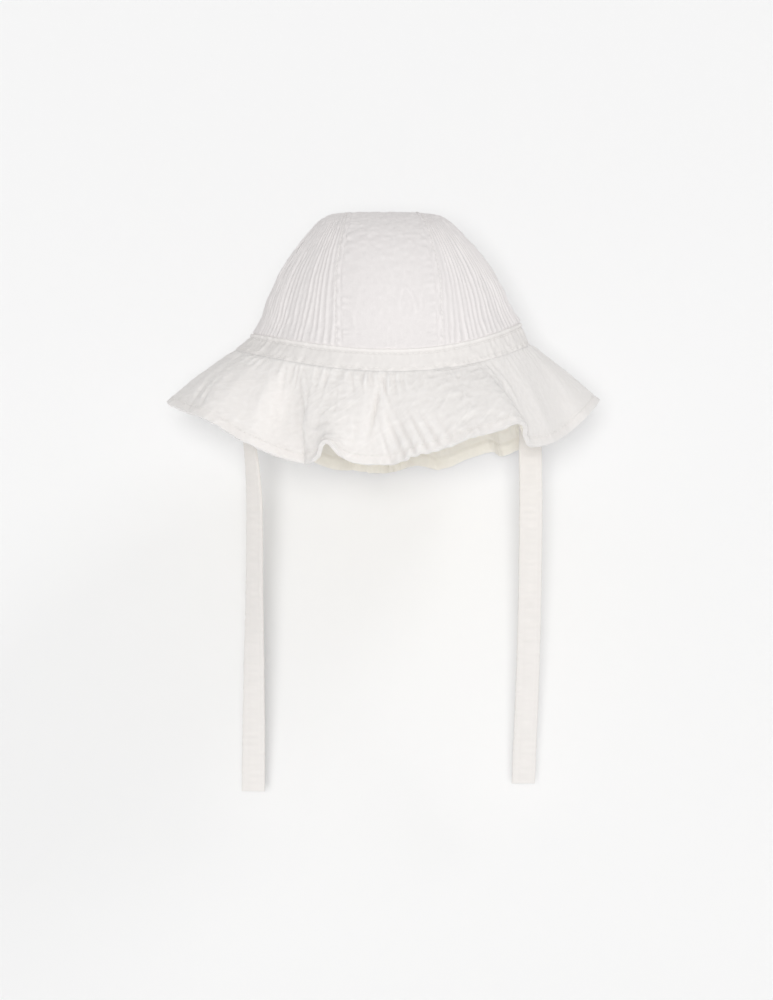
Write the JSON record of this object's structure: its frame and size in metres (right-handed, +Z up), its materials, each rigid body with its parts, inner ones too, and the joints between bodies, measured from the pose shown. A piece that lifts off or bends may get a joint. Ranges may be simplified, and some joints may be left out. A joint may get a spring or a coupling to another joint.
{
  "type": "infant's sun hat",
  "caption": "Soft crinkled-gauze sun hat for an infant: a flat-topped three-piece crown, a flared band, a ruffled brim and flat chin ties that hang.",
  "frame": {"origin": "middle of the head opening, level with the lower edge of the band at the sides, where the hat sits on a head", "axes": "+Z up through the flat top of the crown, -Y to the front of the hat, +X to the right as seen from the front"},
  "size_m": [0.2342, 0.2069, 0.3124],
  "materials": {
    "crown_gauze": "matt crinkled cotton double gauze, off-white",
    "band_gauze": "matt cotton double gauze, off-white, stitched along both seams",
    "brim_gauze": "matt gathered cotton double gauze, ivory white, with a stitched hem",
    "tie_gauze": "matt folded cotton double gauze, off-white, edge-stitched"
  },
  "bodies": {
    "root": {"crown_centre_panel": "crown_gauze", "crown_side_panel_left": "crown_gauze", "crown_side_panel_right": "crown_gauze", "crown_band": "band_gauze", "ruffle_brim": "brim_gauze", "tie_left": "tie_gauze", "tie_right": "tie_gauze"}
  },
  "joints": []
}
